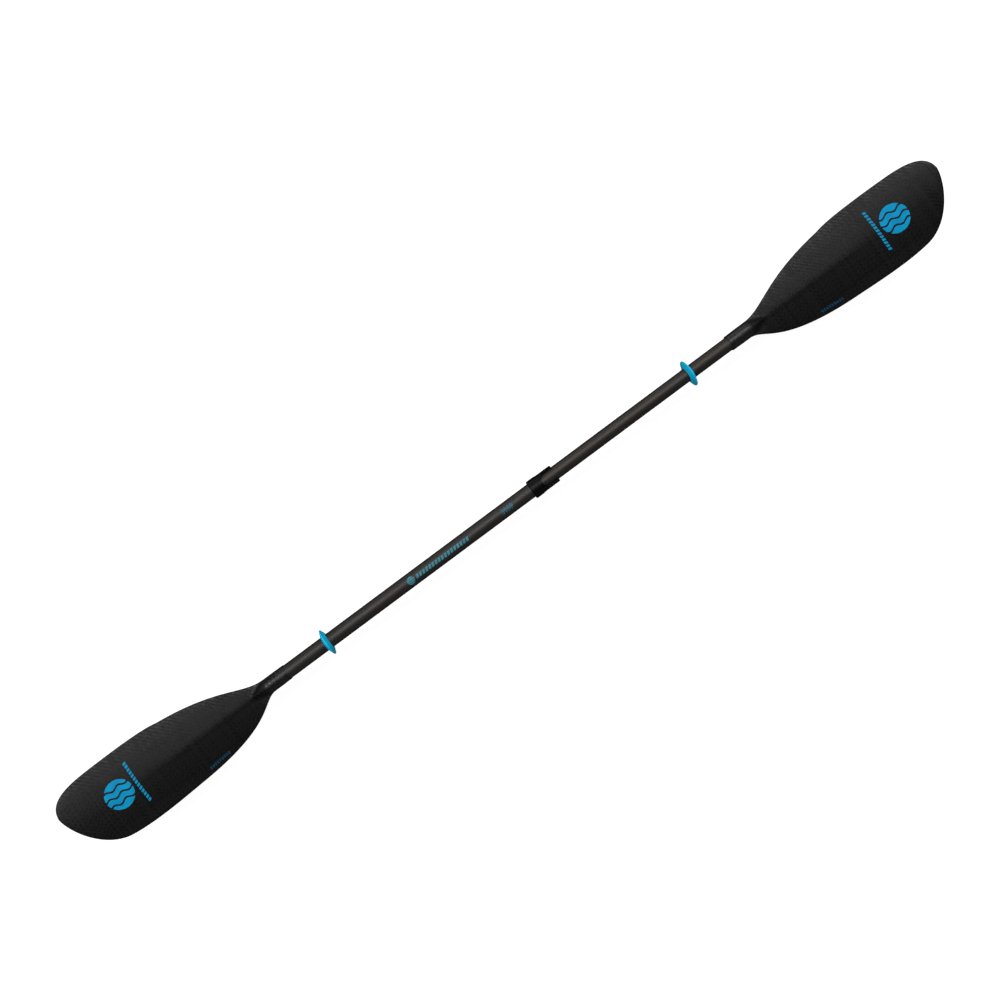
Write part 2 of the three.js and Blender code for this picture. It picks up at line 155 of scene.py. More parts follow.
# ---- node helpers -------------------------------------------------------------------------------
class Nodes:
    """Short calls for building a material's node tree."""

    def __init__(self, name):
        self.material = bpy.data.materials.new(name)
        self.material.use_nodes = True
        self.tree = self.material.node_tree
        self.shader = self.tree.nodes["Principled BSDF"]

    def add(self, kind, **values):
        node = self.tree.nodes.new(kind)
        for key, value in values.items():
            setattr(node, key, value)
        return node

    def put(self, socket, value):
        if isinstance(value, bpy.types.NodeSocket):
            self.tree.links.new(value, socket)
        else:
            socket.default_value = value

    def math(self, operation, a, b=0.0):
        node = self.add("ShaderNodeMath", operation=operation)
        self.put(node.inputs[0], a)
        self.put(node.inputs[1], b)
        return node.outputs[0]

    def times(self, a, b):
        return self.math("MULTIPLY", a, b)

    def plus(self, a, b):
        return self.math("ADD", a, b)

    def mix(self, factor, a, b):
        node = self.add("ShaderNodeMix", data_type="RGBA")
        self.put(node.inputs["Factor"], factor)
        self.put(node.inputs["A"], a)
        self.put(node.inputs["B"], b)
        return node.outputs["Result"]

    def ramp(self, value, low_in, high_in, low_out=0.0, high_out=1.0):
        """Takes a value smoothly from low_in..high_in to low_out..high_out."""
        node = self.add("ShaderNodeMapRange", interpolation_type="SMOOTHSTEP")
        for key, number in zip(("Value", "From Min", "From Max", "To Min", "To Max"),
                               (value, low_in, high_in, low_out, high_out)):
            self.put(node.inputs[key], number)
        return node.outputs["Result"]

    def place(self):
        """The point on the piece, in metres, as one socket and as three."""
        point = self.add("ShaderNodeTexCoord").outputs["Object"]
        split = self.add("ShaderNodeSeparateXYZ")
        self.put(split.inputs[0], point)
        return point, split.outputs

    def noise(self, point, scale, detail, stretch=(1, 1, 1)):
        mapping = self.add("ShaderNodeMapping")
        self.put(mapping.inputs["Vector"], point)
        mapping.inputs["Scale"].default_value = stretch
        node = self.add("ShaderNodeTexNoise")
        self.put(node.inputs["Vector"], mapping.outputs[0])
        node.inputs["Scale"].default_value = scale
        node.inputs["Detail"].default_value = detail
        return node.outputs["Fac"]

    def bump(self, height, strength, distance):
        node = self.add("ShaderNodeBump")
        node.inputs["Strength"].default_value = strength
        node.inputs["Distance"].default_value = distance
        self.put(node.inputs["Height"], height)
        self.put(self.shader.inputs["Normal"], node.outputs[0])

    def shade(self, **sockets):
        """Sets the shader's sockets and gives the material."""
        for key, value in sockets.items():
            self.put(self.shader.inputs[key.replace("_", " ")], value)
        return self.material


def grey(level, warmth=0.0):
    return (level * (1 + warmth), level, level * (1 - warmth), 1)


TOWS_PER_REPEAT = 4         # two over, two under
TOW_FLATNESS = 0.4          # 1 would leave a tow round, 0 would make it flat


def twill(nodes, across, along, tow):
    """A twill. Returns which tow is on top, 0 or 1, the cloth's height and each tow's own tone."""
    warp_place = nodes.math("DIVIDE", across, tow)
    weft_place = nodes.math("DIVIDE", along, tow)
    row = nodes.math("FLOOR", warp_place)
    column = nodes.math("FLOOR", weft_place)
    phase = nodes.math("FRACT", nodes.math("DIVIDE", nodes.plus(row, column), TOWS_PER_REPEAT))
    warp_up = nodes.math("LESS_THAN", phase, 0.5)
    weft_up = nodes.math("SUBTRACT", 1.0, warp_up)
    heights, tones = [], []
    for place, line, shown in ((warp_place, row, warp_up), (weft_place, column, weft_up)):
        half_turn = nodes.times(nodes.math("FRACT", place), math.pi)
        heights.append(nodes.times(nodes.math("SINE", half_turn), shown))
        tone = nodes.add("ShaderNodeTexWhiteNoise", noise_dimensions="1D")
        nodes.put(tone.inputs["W"], line)
        tones.append(nodes.times(tone.outputs["Value"], shown))
    return warp_up, nodes.math("POWER", nodes.plus(*heights), TOW_FLATNESS), nodes.plus(*tones)


# ---- materials ----------------------------------------------------------------------------------
BLADE_TOW = 2.4 * MM
BLADE_WEFT, BLADE_WARP, BLADE_PALE_TOW = grey(0.0018), grey(0.0042), grey(0.007)
BLADE_FIBRE, BLADE_CLOUD, BLADE_WORN = grey(0.0045), grey(0.002), grey(0.025)
TOW_SHEEN = 0.2             # how far the roughness of two tows can differ
WARP_SHEEN = 0.1            # how much smoother the warp is than the weft

SHAFT_TOW = 1.6 * MM
SHAFT_WRAP = 15 * MM        # the mean radius that the shaft's cloth is laid round
SHAFT_WEFT, SHAFT_WARP, SHAFT_PALE_TOW = 0.0022, 0.006, 0.011
SHAFT_CLOUD, SHAFT_SCRATCH = 0.006, 0.03
BIAS = math.sqrt(0.5)       # the shaft's cloth runs at 45 degrees


def blade_material(name, gloss, roughest):
    nodes = Nodes(name)
    point, (x, y, _) = nodes.place()
    warp_up, height, tone = twill(nodes, x, y, BLADE_TOW)
    fibres = nodes.noise(point, scale=900, detail=2, stretch=(1, 0.15, 1))
    cloud = nodes.noise(point, scale=9, detail=4)
    cloth = nodes.mix(warp_up, BLADE_WEFT, BLADE_WARP)
    cloth = nodes.mix(nodes.times(tone, 0.5), cloth, BLADE_PALE_TOW)
    cloth = nodes.mix(nodes.times(fibres, 0.3), cloth, BLADE_FIBRE)
    cloth = nodes.mix(nodes.ramp(cloud, 0.35, 0.75, 0.0, 0.35), cloth, BLADE_CLOUD)
    edge = nodes.add("ShaderNodeAttribute", attribute_name="rim").outputs["Fac"]
    scuff = nodes.noise(point, scale=160, detail=5)
    worn = nodes.times(nodes.ramp(edge, 0.55, 1.0), nodes.ramp(scuff, 0.5, 0.62))
    nodes.bump(height, strength=0.8, distance=0.12 * MM)
    roughness = nodes.ramp(cloud, 0.3, 0.7, roughest - 0.05, roughest)
    roughness = nodes.plus(roughness, nodes.times(nodes.math("SUBTRACT", tone, 0.5), TOW_SHEEN))
    roughness = nodes.math("SUBTRACT", roughness, nodes.times(warp_up, WARP_SHEEN))
    return nodes.shade(
        Base_Color=nodes.mix(nodes.times(worn, 0.5), cloth, BLADE_WORN),
        Roughness=nodes.plus(roughness, nodes.times(worn, 0.2)),
        Specular_IOR_Level=gloss,
    )


def shaft_material(name, warmth):
    nodes = Nodes(name)
    point, (x, y, z) = nodes.place()
    turn = nodes.times(nodes.math("ARCTAN2", y, z), SHAFT_WRAP)
    across = nodes.times(nodes.plus(x, turn), BIAS)
    along = nodes.times(nodes.math("SUBTRACT", x, turn), BIAS)
    warp_up, height, tone = twill(nodes, across, along, SHAFT_TOW)
    cloud = nodes.noise(point, scale=14, detail=4, stretch=(0.4, 1, 1))
    grain = nodes.noise(point, scale=420, detail=3)
    cloth = nodes.mix(warp_up, grey(SHAFT_WEFT, warmth), grey(SHAFT_WARP, warmth))
    cloth = nodes.mix(nodes.times(tone, 0.5), cloth, grey(SHAFT_PALE_TOW, warmth))
    warm_cloud = grey(SHAFT_CLOUD, warmth * 1.6)
    cloth = nodes.mix(nodes.ramp(cloud, 0.35, 0.7, 0.0, 0.5), cloth, warm_cloud)
    lines = nodes.noise(point, scale=260, detail=2, stretch=(0.05, 1, 1))
    scratch = nodes.ramp(lines, 0.68, 0.74, 0.0, 0.25)
    nodes.bump(nodes.plus(height, nodes.times(grain, 0.4)), strength=0.3, distance=0.08 * MM)
    roughness = nodes.ramp(grain, 0.3, 0.7, 0.47, 0.55)
    return nodes.shade(
        Base_Color=nodes.mix(scratch, cloth, grey(SHAFT_SCRATCH, warmth)),
        Roughness=nodes.plus(roughness, nodes.times(tone, 0.06)),
        Specular_IOR_Level=0.4,
        Specular_Tint=(1, 1 - 0.6 * warmth, 1 - 1.4 * warmth, 1),
    )


def moulded_material(name, colour, roughness, grain, wear=0.0, gloss=0.5, mottle=0.28):
    """Moulded plastic or rubber: a fine spark-eroded grain, slight mottling and paler patches."""
    nodes = Nodes(name)
    point, _ = nodes.place()
    fine = nodes.noise(point, scale=1600, detail=2)
    cloud = nodes.noise(point, scale=45, detail=3)
    rubbed = nodes.noise(point, scale=130, detail=5)
    darker = tuple(channel * (1 - mottle) for channel in colour[:3]) + (1,)
    paler = tuple(min(1.0, channel * (1 + 0.9 * mottle) + wear) for channel in colour[:3]) + (1,)
    base = nodes.mix(nodes.ramp(cloud, 0.3, 0.6), darker, colour)
    nodes.bump(fine, strength=grain * 4, distance=0.05 * MM)
    return nodes.shade(
        Base_Color=nodes.mix(nodes.ramp(rubbed, 0.58, 0.72, 0.0, 0.5), base, paler),
        Roughness=nodes.ramp(cloud, 0.3, 0.7, roughness - 0.04, roughness + 0.06),
        Specular_IOR_Level=gloss,
    )


def steel_material():
    nodes = Nodes("turned_steel")
    point, _ = nodes.place()
    lines = nodes.noise(point, scale=900, detail=2, stretch=(1, 0.05, 1))
    nodes.bump(lines, strength=0.1, distance=0.03 * MM)
    return nodes.shade(
        Base_Color=nodes.mix(lines, grey(0.5), grey(0.66)),
        Metallic=1.0,
        Roughness=nodes.ramp(lines, 0.3, 0.7, 0.22, 0.36),
    )


def foam_material():
    nodes = Nodes("closed_cell_foam")
    point, _ = nodes.place()
    cells = nodes.add("ShaderNodeTexVoronoi")
    nodes.put(cells.inputs["Vector"], point)
    cells.inputs["Scale"].default_value = 700
    nodes.bump(cells.outputs["Distance"], strength=0.6, distance=0.4 * MM)
    return nodes.shade(
        Base_Color=nodes.mix(cells.outputs["Distance"], grey(0.07), grey(0.035)),
        Roughness=nodes.ramp(cells.outputs["Distance"], 0.0, 0.7, 0.85, 0.98),
    )


def ink_material(name, bright, dim, worn):
    """Printed ink from three colours, with darker clouds and worn specks."""
    nodes = Nodes(name)
    point, _ = nodes.place()
    speck = nodes.noise(point, scale=1100, detail=3)
    cloud = nodes.noise(point, scale=60, detail=3)
    colour = nodes.mix(nodes.ramp(cloud, 0.3, 0.7), (*dim, 1), (*bright, 1))
    return nodes.shade(
        Base_Color=nodes.mix(nodes.ramp(speck, 0.6, 0.75, 0.0, 0.6), colour, (*worn, 1)),
        Roughness=nodes.ramp(speck, 0.3, 0.7, 0.5, 0.6),
        Specular_IOR_Level=0.05,
    )


BLADE = blade_material("blade_twill", gloss=0.085, roughest=0.43)
# the blade grows glossier towards its neck: where each step starts, in mm from the tip, its gloss
# and its greatest roughness
NECK_GLOSS = [(458, 0.12, 0.45), (466, 0.18, 0.48), (474, 0.26, 0.5), (482, 0.34, 0.53)]
NECK_STEPS = [(start, blade_material(f"neck_twill_{start}", gloss, roughest))
              for start, gloss, roughest in NECK_GLOSS]
SHAFT_LEFT = shaft_material("shaft_left_weave", warmth=0.07)
SHAFT_RIGHT = shaft_material("shaft_right_weave", warmth=0.11)
NYLON = moulded_material("black_nylon", grey(0.001), 0.42, grain=0.06, wear=0.002, gloss=0.11)
ACETAL = moulded_material("grey_acetal", grey(0.25), 0.4, grain=0.02)
RUBBER_CYAN = moulded_material(
    "cyan_rubber", (0.004, 0.42, 0.69, 1), 0.55, grain=0.006, gloss=0.25, mottle=0.08)
RUBBER_BLACK = moulded_material("black_rubber", grey(0.012), 0.75, grain=0.1)
STEEL = steel_material()
FOAM = foam_material()
INK = ink_material("cyan_ink", (0.001, 0.22, 0.41), (0.001, 0.18, 0.345), (0.001, 0.1, 0.18))
DIM_INK = ink_material(
    "dim_blue_ink", (0.003, 0.04, 0.075), (0.003, 0.028, 0.055), (0.003, 0.014, 0.025))
SHAFT_INK = ink_material("teal_ink", (0.045, 0.19, 0.23), (0.03, 0.14, 0.18), (0.02, 0.07, 0.09))
SCALE_INK = ink_material("scale_ink", (0.04, 0.2, 0.27), (0.02, 0.11, 0.17), (0.01, 0.05, 0.08))


# ---- mesh helpers, with their lengths in mm -----------------------------------------------------
SHARP = math.radians(32)            # smooth shading stops at edges sharper than this
BEVEL_FROM = math.radians(28)


def clean(mesh, weld=0.0, degenerate=False):
    """Welds points closer than weld, in metres, and turns the faces outwards."""
    work = bmesh.new()
    work.from_mesh(mesh)
    if weld:
        bmesh.ops.remove_doubles(work, verts=work.verts, dist=weld)
    if degenerate:
        bmesh.ops.dissolve_degenerate(work, edges=work.edges, dist=weld)
    bmesh.ops.recalc_face_normals(work, faces=work.faces)
    work.to_mesh(mesh)
    work.free()
    return mesh


def new_mesh(name, points, faces):
    mesh = bpy.data.meshes.new(name)
    mesh.from_pydata([tuple(p) for p in points], [], faces)
    return mesh


def loose(name, mesh):
    """An object in the scene that isn't a piece yet."""
    piece = bpy.data.objects.new(name, mesh)
    bpy.context.scene.collection.objects.link(piece)
    return piece


def dress(piece, material, body, slot, *replaced):
    """Gives a piece outward faces, smooth shading, its material and its body, and hides the CAD nodes
    it stands in for.
    """
    mesh = clean(piece.data, weld=1e-6)
    mesh.shade_smooth()
    mesh.set_sharp_from_angle(angle=SHARP)
    mesh.materials.clear()
    mesh.materials.append(material)
    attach(piece, body)
    if replaced:
        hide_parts(*replaced)
    return piece


def lathe_mesh(name, profile, sides=128):
    """A closed body of revolution about X. Its (radius, x) pairs start and end on X or form a loop."""
    points = []
    for k in range(sides):
        turn = 2 * math.pi * k / sides
        points += [(x * MM, r * MM * math.cos(turn), r * MM * math.sin(turn)) for r, x in profile]
    count = len(profile)
    on_axis = profile[0][0] == 0
    faces = []
    for k in range(sides):
        here, there = k * count, ((k + 1) % sides) * count
        for i in range(count - 1 if on_axis else count):
            j = (i + 1) % count
            faces.append((here + i, here + j, there + j, there + i))
    return clean(new_mesh(name, points, faces), weld=1e-7, degenerate=True)


def rod_mesh(name, radius, start, end, sides=128):
    return lathe_mesh(name, [(0, start), (radius, start), (radius, end), (0, end)], sides)


def slab_mesh(name, outline, low_side, high_side, axis):
    """An outline given thickness along axis, "y" (outline in X, Z) or "z" (outline in X, Y)."""
    def point(a, b, c):
        return (a * MM, c * MM, b * MM) if axis == "y" else (a * MM, b * MM, c * MM)
    count = len(outline)
    points = [point(a, b, side) for side in (low_side, high_side) for a, b in outline]
    faces = [tuple(range(count)), tuple(range(2 * count - 1, count - 1, -1))]
    faces += [(i, (i + 1) % count, count + (i + 1) % count, count + i) for i in range(count)]
    return clean(new_mesh(name, points, faces))


def upright(mesh, x, y, z):
    """Turns a lathe's X axis to Z and moves it."""
    mesh.transform(Matrix.Translation(Vector((x, y, z)) * MM) @ Matrix.Rotation(-math.pi / 2, 4, "Y"))
    return mesh


def crosswise(mesh, x, y, z):
    """Turns a lathe's X axis to Y and moves it."""
    mesh.transform(Matrix.Translation(Vector((x, y, z)) * MM) @ Matrix.Rotation(math.pi / 2, 4, "Z"))
    return mesh


def settle(piece):
    """Applies every modifier on the piece."""
    bpy.context.view_layer.update()
    graph = bpy.context.evaluated_depsgraph_get()
    done = bpy.data.meshes.new_from_object(piece.evaluated_get(graph))
    piece.modifiers.clear()
    piece.data = done


def combine(piece, tool_mesh, operation):
    tool = loose("tool", tool_mesh)
    modifier = piece.modifiers.new("combine", "BOOLEAN")
    modifier.operation = operation
    modifier.solver = "EXACT"
    modifier.object = tool
    settle(piece)
    bpy.data.objects.remove(tool)


def soften(piece, width):
    """Rounds the piece's sharp edges."""
    modifier = piece.modifiers.new("soften", "BEVEL")
    modifier.width = width * MM
    modifier.segments = 3
    modifier.limit_method = "ANGLE"
    modifier.angle_limit = BEVEL_FROM
    modifier.use_clamp_overlap = True
    settle(piece)


def arc(cx, cy, radius, start, end, count):
    turns = [math.radians(start + (end - start) * i / count) for i in range(count + 1)]
    return [(cx + radius * math.cos(t), cy + radius * math.sin(t)) for t in turns]


def bezier(a, b, c, d, count):
    a, b, c, d = (np.array(p, float) for p in (a, b, c, d))
    t = np.linspace(0, 1, count + 1)[:, None]
    return (1 - t) ** 3 * a + 3 * t * (1 - t) ** 2 * b + 3 * t * t * (1 - t) * c + t ** 3 * d


# ---- blades: the CAD blade's surface in finer steps, in mm, u from the tip and y across ----------
TIP_Y = 34.5                # the tip lies off the shaft axis
NECK_R = 16.9
NECK_LIP_R = 16.5
NECK_STRAIGHT_U = 520
NECK_END_U = 543.5
SOCKET_DEPTH = 40
UPPER_NODES = [(0, TIP_Y), (0, 77.5), (55, 81), (99, 82), (237, 85.5), (250, 77.5), (263, 76),
               (409, 59.5), (442, NECK_R), (493, NECK_R)]
LOWER_NODES = [(0, TIP_Y), (0, 17), (32, -68.5), (98, -78.5), (154, -86.5), (222, -81), (273, -78.5),
               (460, -69), (467, -NECK_R), (501, -NECK_R)]

SPOON_LENGTH = 500
SPOON_BELLY = 9
SPOON_TIP = 13
RIDGE_SLOPE = 0.075
RIDGE_ROUNDING = 4
TIP_ROUNDING = 30
ROUND_RIDGE_U = 60          # the ridge is at its roundest from here to the tip
CRISP_RIDGE_U = 280         # and at its crispest from here to the neck
RIDGE_FADE_U = 430          # the ridge sinks into the neck from here to the spoon's end
HALF_THICKNESS = 1.5
EDGE_FULLNESS = 0.4         # 1 would taper the plate to its edge like a lens, 0 leaves it square
CORE_HEIGHT = 6
CORE_HALF_WIDTH = 26
CORE_START_U = 220
CORE_FULL_U = 470
NOSE_FULL_U = 495
FRONT_NOSE_U = 459
FRONT_NOSE_POWER = 1.1
BACK_SPINE_U = 250
BACK_SPINE_POWER = 0.8
FILLET = 12
FILLET_FADE_U = 480
FILLET_END_U = 498
NO_FILLET = 0.01


def edge_points(nodes, shares):
    """Points on a chain of cubic curves at the given shares of its length."""
    curves = [bezier(*nodes[i:i + 4], count=200)[:-1] for i in range(0, len(nodes) - 1, 3)]
    chain = np.vstack([*curves, np.array([nodes[-1]], float)])
    length = np.concatenate([[0], np.cumsum(np.linalg.norm(np.diff(chain, axis=0), axis=1))])
    return np.stack([np.interp(shares * length[-1], length, chain[:, k]) for k in (0, 1)], 1)


def smooth(value, start, end):
    t = np.clip((value - start) / (end - start), 0, 1)
    return t * t * (3 - 2 * t)


def mid_surface(u, y):
    along = np.maximum(0, 1 - u / SPOON_LENGTH)
    spoon = SPOON_TIP * along ** 3 - SPOON_BELLY * np.sin(np.pi * along) ** 2
    crispness = smooth(u, ROUND_RIDGE_U, CRISP_RIDGE_U)
    rounding = TIP_ROUNDING + (RIDGE_ROUNDING - TIP_ROUNDING) * crispness
    fall = RIDGE_SLOPE * (np.hypot(y, rounding) - rounding)
    return spoon - fall * (1 - smooth(u, RIDGE_FADE_U, SPOON_LENGTH))


def core(u, y):
    height = CORE_HEIGHT * smooth(u, CORE_START_U, CORE_FULL_U)
    return height * np.maximum(0, 1 - np.abs(y) / CORE_HALF_WIDTH)


def nose_height(u, y, tip_u, power):
    """The shaft sleeve's round end, which runs out into the blade; below zero beside and beyond it."""
    run = np.clip((NOSE_FULL_U - u) / (NOSE_FULL_U - tip_u), 0, 1)
    radius = NECK_R * (1 - run ** power)
    beside = np.hypot(np.maximum(0, np.abs(y) - radius), np.maximum(0, tip_u - u))
    return np.where(beside > 0, -beside, np.sqrt(np.maximum(0, radius ** 2 - y ** 2)))


def fillet(a, b, width):
    """The larger of two heights, with a fillet where they meet."""
    share = np.maximum(0, width - np.abs(a - b)) / width
    return np.maximum(a, b) + share ** 2 * width / 4


def front_rise(u, y, rounded):
    width = NO_FILLET + FILLET * rounded * (1 - smooth(u, FILLET_FADE_U, FILLET_END_U))
    nose = nose_height(u, y, FRONT_NOSE_U, FRONT_NOSE_POWER)
    return fillet(rounded * HALF_THICKNESS, nose, width)


def back_rise(u, y, rounded):
    plate = rounded * (HALF_THICKNESS + core(u, y))
    return np.maximum(plate, nose_height(u, y, BACK_SPINE_U, BACK_SPINE_POWER))


BLADE_RIBS = 150
RIB_CROWDING = 1.25         # above 1, the ribs lie closer together at the tip
RIB_POINTS = 56             # points across one face of a rib
AROUND = 2 * RIB_POINTS
RIB_ANGLES = 2 * np.pi * np.arange(AROUND) / AROUND
RIB_SHARES = (np.arange(1, BLADE_RIBS + 1) / BLADE_RIBS) ** RIB_CROWDING
RIB_TOPS = edge_points(UPPER_NODES, RIB_SHARES)
RIB_BOTTOMS = edge_points(LOWER_NODES, RIB_SHARES)


def blade_rings():
    """The blade's ribs as rings of points, from the tip to the neck."""
    across = ((1 + np.cos(RIB_ANGLES)) / 2)[None, :]
    u = RIB_BOTTOMS[:, :1] * (1 - across) + RIB_TOPS[:, :1] * across
    y = RIB_BOTTOMS[:, 1:] * (1 - across) + RIB_TOPS[:, 1:] * across
    rounded = np.abs(np.sin(RIB_ANGLES))[None, :] ** EDGE_FULLNESS
    on_front = np.sin(RIB_ANGLES) >= 0
    rise = np.where(on_front, front_rise(u, y, rounded), -back_rise(u, y, rounded))
    rise[:, [0, RIB_POINTS]] = 0
    z = mid_surface(u, y) + rise
    return [np.stack([u[i], y[i], z[i]], 1) for i in range(BLADE_RIBS)]


def neck_rings(socket_radius):
    """The neck's sleeve, its rounded lip and the inside of its socket, as rings of points."""
    profile = [
        (NECK_STRAIGHT_U, NECK_R),
        (NECK_END_U - 1.5, NECK_LIP_R),
        (NECK_END_U - 0.4, NECK_LIP_R - 0.15),
        (NECK_END_U, NECK_LIP_R - 0.5),
        (NECK_END_U, socket_radius + 0.3),
        (NECK_END_U - 0.4, socket_radius),
        (NECK_END_U - SOCKET_DEPTH, socket_radius),
    ]
    return [np.stack([np.full(AROUND, u), r * np.cos(RIB_ANGLES), r * np.sin(RIB_ANGLES)], 1)
            for u, r in profile]


def blade_piece(name, side, socket_radius, body):
    rings = blade_rings() + neck_rings(socket_radius)
    tip = [0, TIP_Y, float(mid_surface(0.0, TIP_Y))]
    socket_floor = [NECK_END_U - SOCKET_DEPTH, 0, 0]
    points = np.vstack([[tip], *rings, [socket_floor]])
    faces = []
    end = len(points) - 1
    last = 1 + (len(rings) - 1) * AROUND
    for k in range(AROUND):
        n = (k + 1) % AROUND
        faces.append((0, 1 + k, 1 + n))
        for ring in range(len(rings) - 1):
            a, b = 1 + ring * AROUND + k, 1 + ring * AROUND + n
            faces.append((a, a + AROUND, b + AROUND, b))
        faces.append((last + k, end, last + n))
    points[:, 0] = side * (HALF_MM - points[:, 0])
    piece = loose(name, new_mesh(name, points * MM, faces))
    dress(piece, BLADE, body, "blade_composite", name.replace("_skin", ""))
    gloss_neck(piece)
    mark_rim(piece)
    return piece


def gloss_neck(piece):
    """Makes the blade glossier in steps towards the neck, each from one rib on."""
    centres = [(HALF_MM - abs(face.center.x) / MM, face.center.y / MM) for face in piece.data.polygons]
    for step, (start_u, material) in enumerate(NECK_STEPS, 1):
        rib = int(np.argmax(RIB_TOPS[:, 0] > start_u))
        (top_u, top_y), (bottom_u, bottom_y) = RIB_TOPS[rib], RIB_BOTTOMS[rib]
        piece.data.materials.append(material)
        for face, (u, y) in zip(piece.data.polygons, centres):
            if (u - bottom_u) * (top_y - bottom_y) > (y - bottom_y) * (top_u - bottom_u):
                face.material_index = step


RIM_WIDTH = 5
RIM_END_U = 470
RIM_SAMPLES = 400


def mark_rim(piece):
    """Stores how near each point is to the blade's edge, for the wear in its material."""
    co = np.array([v.co for v in piece.data.vertices]) / MM
    u = HALF_MM - np.abs(co[:, 0])
    share = np.linspace(0.002, 1, RIM_SAMPLES)
    edge = np.vstack([edge_points(UPPER_NODES, share), edge_points(LOWER_NODES, share)])
    away = np.array([np.min(np.hypot(edge[:, 0] - a, edge[:, 1] - b)) for a, b in zip(u, co[:, 1])])
    rim = np.where(u < RIM_END_U, np.clip(1 - away / RIM_WIDTH, 0, 1), 0)
    attribute = piece.data.attributes.new("rim", "FLOAT", "POINT")
    attribute.data.foreach_set("value", rim.astype(np.float32))


GAP = 0.3                   # clearance between neighbouring pieces
OUTER_R = 15.5
OUTER_BORE = 14.8
INNER_R = 14.5
INNER_BORE = 13.2
left_blade = blade_piece("left_blade_skin", -1, OUTER_R + GAP, "left_half")
right_blade = blade_piece("right_blade_skin", 1, INNER_R + GAP, "right_half")


# ---- tubes --------------------------------------------------------------------------------------
TUBE_CHAMFER = 0.25


def shaft_piece(name, node, outer, bore, material, body):
    start, end = (corner.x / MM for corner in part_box(node))
    rim = outer - TUBE_CHAMFER
    profile = [(bore, start), (rim, start), (outer, start + TUBE_CHAMFER),
               (outer, end - TUBE_CHAMFER), (rim, end), (bore, end)]
    dress(loose(name, lathe_mesh(name, profile)), material, body, "shaft_composite", node)


shaft_piece("outer_tube_skin", "outer_shaft_tube", OUTER_R, OUTER_BORE, SHAFT_LEFT, "left_half")
shaft_piece("inner_tube_skin", "inner_shaft_tube", INNER_R, INNER_BORE, SHAFT_RIGHT, "right_half")

# ---- collar and lever ---------------------------------------------------------------------------
COLLAR_X0, COLLAR_TAPER_X, COLLAR_STEP_X, COLLAR_X1 = 58.5, 75, 84, 117.5
COLLAR_R, COLLAR_NOSE_R = 20.2, 19.2
COLLAR_BORE, COLLAR_NOSE_BORE = OUTER_R + GAP, 16.3
COLLAR_CHAMFER, COLLAR_NOSE_CHAMFER = 1.4, 0.8
TAPER_STEPS = 8
OUTER_MOUTH_X = 74
NOTCH_ROOT_X, NOTCH_STRAIGHT_X, NOTCH_HALF_WIDTH = 85, 95, 14.6
NOTCH_FLOOR_Z = 2
PIVOT_X, PIVOT_Z = 93, -23.5
PIN_R = 1.6
PIN_HALF_LENGTH = 8.8
PIN_CHAMFER = 0.4
EAR_INNER_Y, EAR_OUTER_Y, EAR_R = 5.1, 8.6, 5
EAR_ROOT_Z, EAR_ROOT_HALF_LENGTH = -14, 7
SHOE_HALF_LENGTH, SHOE_HALF_WIDTH = 6, 4.5
INSIDE_TUBE_Z = -10         # nearer the axis than the back of the inner tube
SCREW_X, SCREW_R = 66, 1.9
CAM_R, CAM_OFFSET = 4.4, 0.5
LEVER_TIP_X = 48
LEVER_TOP_Z, LEVER_FACE_Z = PIVOT_Z + 1.5, -29
LEVER_HALF_WIDTH = 8
HUB_HALF_WIDTH = EAR_INNER_Y - 0.4
GRIP_GROOVES, GRIP_PITCH, GRIP_WIDTH, GRIP_DEPTH, GRIP_HALF_LENGTH = 5, 3, 1.2, 0.6, 6
SMALL_SIDES = 48
NOTCH_TOP_Z = 24            # this and the next four are where cutters end, clear of what they cut
NOTCH_OPEN_X = COLLAR_X1 + 3
PIN_HOLE_HALF_LENGTH = 10
SCREW_HOLE_Z0, SCREW_HOLE_Z1 = -22, -14
GROOVE_Z0 = LEVER_FACE_Z - 1


def notch_mesh():
    half, root, open_end = NOTCH_HALF_WIDTH, NOTCH_ROOT_X, NOTCH_OPEN_X
    side = bezier((NOTCH_STRAIGHT_X, half), (root + 3, half - 1), (root, half / 2), (root, 0), 24)
    mirrored = [(x, -y) for x, y in side[::-1][1:]]
    outline = [(open_end, -half), (open_end, half), *[tuple(p) for p in side], *mirrored]
    return slab_mesh("notch", outline, NOTCH_FLOOR_Z, NOTCH_TOP_Z, "z")


def window_mesh():
    reach, half = SHOE_HALF_LENGTH + GAP, SHOE_HALF_WIDTH + GAP
    outline = [(PIVOT_X - reach, -half), (PIVOT_X + reach, -half),
               (PIVOT_X + reach, half), (PIVOT_X - reach, half)]
    return slab_mesh("window", outline, PIVOT_Z, INSIDE_TUBE_Z, "z")


def ear_mesh(low_side, high_side):
    root = [(PIVOT_X - EAR_ROOT_HALF_LENGTH, EAR_ROOT_Z), (PIVOT_X + EAR_ROOT_HALF_LENGTH, EAR_ROOT_Z)]
    return slab_mesh("ear", root + arc(PIVOT_X, PIVOT_Z, EAR_R, 0, -180, 20), low_side, high_side, "y")


def pin_hole_mesh():
    reach = PIN_HOLE_HALF_LENGTH
    return crosswise(rod_mesh("hole", PIN_R + GAP, -reach, reach, SMALL_SIDES), PIVOT_X, 0, PIVOT_Z)


